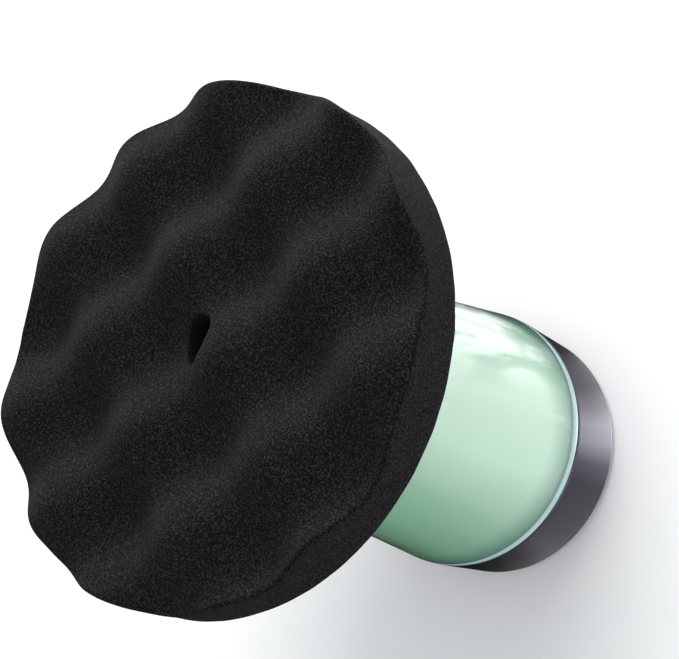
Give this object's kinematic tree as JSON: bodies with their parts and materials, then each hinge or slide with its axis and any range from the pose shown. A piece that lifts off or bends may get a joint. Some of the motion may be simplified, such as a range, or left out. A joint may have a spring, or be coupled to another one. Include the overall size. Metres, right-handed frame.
{
  "type": "rotary polisher",
  "caption": "Palm-grip cordless rotary polisher: waffle foam pad on a hook-and-loop plate, tapered mint body, pale trim ring and dark metal rear cap.",
  "frame": {"origin": "centre of the foot ring's face on the rear cap, where the tool stands", "axes": "+Z along the spindle, from the rear cap to the foam pad; +Y towards the power button on the side of the cap"},
  "size_m": [0.15, 0.15, 0.1684],
  "materials": {
    "black_foam": "open-cell polyurethane foam, matt black",
    "loop_fabric": "brushed loop fabric",
    "hook_nylon": "moulded hook tape",
    "plate_urethane": "moulded urethane, satin",
    "steel": "machined steel",
    "bearing_steel": "ground steel",
    "gear_steel": "cut and hardened steel",
    "cast_aluminium": "die-cast aluminium",
    "magnet": "sintered magnet, nickel coat",
    "copper": "enamelled copper wire",
    "mint_plastic": "polished translucent mint plastic",
    "pale_plastic": "polished pale translucent plastic",
    "gunmetal": "dark polished anodised metal",
    "dark_plastic": "black moulded plastic, fine texture",
    "grey_plastic": "grey moulded plastic",
    "rubber": "black rubber",
    "cell_wrap": "blue plastic wrap on a plated can",
    "circuit_board": "green solder mask"
  },
  "bodies": {
    "housing": {"ring_gear": "gear_steel", "gearbox_housing": "cast_aluminium", "gearbox_screw_1": "steel", "gearbox_screw_2": "steel", "gearbox_screw_3": "steel", "gearbox_screw_4": "steel", "rear_bearing_outer_race": "bearing_steel", "front_bearing_outer_race": "bearing_steel", "spindle_seal": "rubber", "motor_mount": "cast_aluminium", "rear_motor_bearing": "bearing_steel", "front_motor_bearing": "bearing_steel", "stator_core": "gear_steel", "stator_windings": "copper", "battery_cell_1": "cell_wrap", "battery_cell_2": "cell_wrap", "battery_cell_3": "cell_wrap", "battery_cell_4": "cell_wrap", "battery_cell_5": "cell_wrap", "rear_cell_holder": "dark_plastic", "front_cell_holder": "dark_plastic", "control_board": "circuit_board", "body_shell": "mint_plastic", "inner_sleeve": "grey_plastic", "nose_collar": "dark_plastic", "trim_ring": "pale_plastic", "rear_cap": "gunmetal", "foot_ring": "rubber", "cap_screw_1": "steel", "cap_screw_2": "steel", "cap_screw_3": "steel", "button_spring": "steel", "button_switch": "dark_plastic", "cover_hinge_pin": "steel", "charging_socket": "steel", "charging_board": "circuit_board"},
    "spindle_and_plate": {"spindle": "steel", "planet_carrier": "steel", "planet_pin_1": "steel", "planet_pin_2": "steel", "planet_pin_3": "steel", "rear_bearing_inner_race": "bearing_steel", "front_bearing_inner_race": "bearing_steel", "spindle_clip": "steel", "plate_insert": "steel", "backing_plate": "plate_urethane", "hook_layer": "hook_nylon"},
    "pad": {"foam_pad": "black_foam", "pad_loop_backing": "loop_fabric"},
    "motor_rotor": {"motor_shaft": "steel", "sun_gear": "gear_steel", "rotor_can": "steel", "rotor_magnets": "magnet"},
    "planet_1": {"planet_gear_1": "gear_steel"},
    "planet_2": {"planet_gear_2": "gear_steel"},
    "planet_3": {"planet_gear_3": "gear_steel"},
    "button": {"power_button": "dark_plastic"},
    "port_door": {"port_cover": "gunmetal"}
  },
  "joints": [
    {"name": "spindle_spin", "type": "hinge", "parent": "housing", "child": "spindle_and_plate", "pos_m": [0, 0, 0.1209], "axis": [0, 0, 1], "continuous": true},
    {"name": "pad_release", "type": "slide", "parent": "spindle_and_plate", "child": "pad", "axis": [0, 0, 1], "range_m": [0, 0.03]},
    {"name": "rotor_spin", "type": "hinge", "parent": "housing", "child": "motor_rotor", "pos_m": [0, 0, 0.088], "axis": [0, 0, 1], "continuous": true},
    {"name": "planet_1_spin", "type": "hinge", "parent": "spindle_and_plate", "child": "planet_1", "pos_m": [0.015, 0, 0.10625], "axis": [0, 0, 1], "continuous": true},
    {"name": "planet_2_spin", "type": "hinge", "parent": "spindle_and_plate", "child": "planet_2", "pos_m": [-0.0075, 0.01299, 0.10625], "axis": [0, 0, 1], "continuous": true},
    {"name": "planet_3_spin", "type": "hinge", "parent": "spindle_and_plate", "child": "planet_3", "pos_m": [-0.0075, -0.01299, 0.10625], "axis": [0, 0, 1], "continuous": true},
    {"name": "button_press", "type": "slide", "parent": "housing", "child": "button", "axis": [0, -1, 0], "range_m": [0, 0.0015], "stiffness_N_per_m": 400, "springref_m": -0.002, "deforming": ["button_spring"]},
    {"name": "port_cover_swing", "type": "hinge", "parent": "housing", "child": "port_door", "pos_m": [0.03628, 0.02073, 0.015], "axis": [0, 0, -1], "range_deg": [0, 95]}
  ],
  "couplings": [
    {"joint": "rotor_spin", "follows": "spindle_spin", "ratio": 5},
    {"joint": "planet_1_spin", "follows": "spindle_spin", "ratio": -2.6667},
    {"joint": "planet_2_spin", "follows": "spindle_spin", "ratio": -2.6667},
    {"joint": "planet_3_spin", "follows": "spindle_spin", "ratio": -2.6667}
  ]
}
